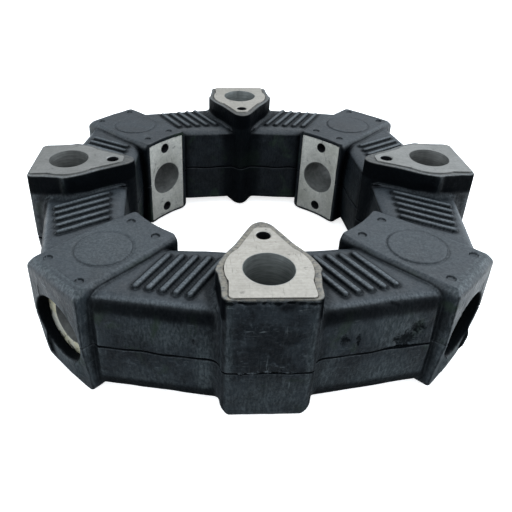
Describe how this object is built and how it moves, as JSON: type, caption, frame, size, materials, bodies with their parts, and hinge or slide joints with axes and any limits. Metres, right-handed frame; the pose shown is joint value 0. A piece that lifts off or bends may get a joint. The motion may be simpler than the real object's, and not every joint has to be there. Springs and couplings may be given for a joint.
{
  "type": "flexible ring coupling element",
  "caption": "Octagonal rubber ring that joins a flywheel flange to a shaft hub, with bored axial and radial metal inserts vulcanised into it and ribbed flexing limbs between them.",
  "frame": {"origin": "on the shaft axis, in the plane of the lower faces of the axial inserts", "axes": "+Z along the shaft axis towards the flange faces of the axial inserts, -Y through the front axial insert, +X through the right one"},
  "size_m": [0.196, 0.196, 0.057],
  "materials": {
    "machined_aluminium": "machined, fine grain, dull",
    "cast_aluminium": "cast, stained, dull",
    "moulded_rubber": "moulded, dusty, soft sheen"
  },
  "bodies": {
    "axial_side": {"axial_insert_front": "machined_aluminium", "axial_insert_right": "machined_aluminium", "axial_insert_back": "machined_aluminium", "axial_insert_left": "machined_aluminium", "axial_jacket_front": "moulded_rubber", "axial_jacket_right": "moulded_rubber", "axial_jacket_back": "moulded_rubber", "axial_jacket_left": "moulded_rubber", "limb_front_to_front_right": "moulded_rubber", "limb_right_to_front_right": "moulded_rubber", "limb_right_to_back_right": "moulded_rubber", "limb_back_to_back_right": "moulded_rubber", "limb_back_to_back_left": "moulded_rubber", "limb_left_to_back_left": "moulded_rubber", "limb_front_to_front_left": "moulded_rubber", "limb_left_to_front_left": "moulded_rubber"},
    "radial_side_front_right": {"radial_insert_front_right": "cast_aluminium", "radial_jacket_front_right": "moulded_rubber"},
    "radial_side_back_right": {"radial_insert_back_right": "cast_aluminium", "radial_jacket_back_right": "moulded_rubber"},
    "radial_side_back_left": {"radial_insert_back_left": "cast_aluminium", "radial_jacket_back_left": "moulded_rubber"},
    "radial_side_front_left": {"radial_insert_front_left": "cast_aluminium", "radial_jacket_front_left": "moulded_rubber"}
  },
  "joints": [
    {"name": "twist_front_right", "type": "hinge", "parent": "axial_side", "child": "radial_side_front_right", "pos_m": [0, 0, 0.0246], "axis": [0, 0, 1], "range_deg": [-4, 4], "stiffness_Nm_per_rad": 250, "deforming": ["limb_front_to_front_right", "limb_right_to_front_right"]},
    {"name": "twist_back_right", "type": "hinge", "parent": "axial_side", "child": "radial_side_back_right", "pos_m": [0, 0, 0.0246], "axis": [0, 0, 1], "range_deg": [-4, 4], "stiffness_Nm_per_rad": 250, "deforming": ["limb_right_to_back_right", "limb_back_to_back_right"]},
    {"name": "twist_back_left", "type": "hinge", "parent": "axial_side", "child": "radial_side_back_left", "pos_m": [0, 0, 0.0246], "axis": [0, 0, 1], "range_deg": [-4, 4], "stiffness_Nm_per_rad": 250, "deforming": ["limb_back_to_back_left", "limb_left_to_back_left"]},
    {"name": "twist_front_left", "type": "hinge", "parent": "axial_side", "child": "radial_side_front_left", "pos_m": [0, 0, 0.0246], "axis": [0, 0, 1], "range_deg": [-4, 4], "stiffness_Nm_per_rad": 250, "deforming": ["limb_front_to_front_left", "limb_left_to_front_left"]}
  ],
  "couplings": [
    {"joint": "twist_back_right", "follows": "twist_front_right", "ratio": 1},
    {"joint": "twist_back_left", "follows": "twist_front_right", "ratio": 1},
    {"joint": "twist_front_left", "follows": "twist_front_right", "ratio": 1}
  ]
}
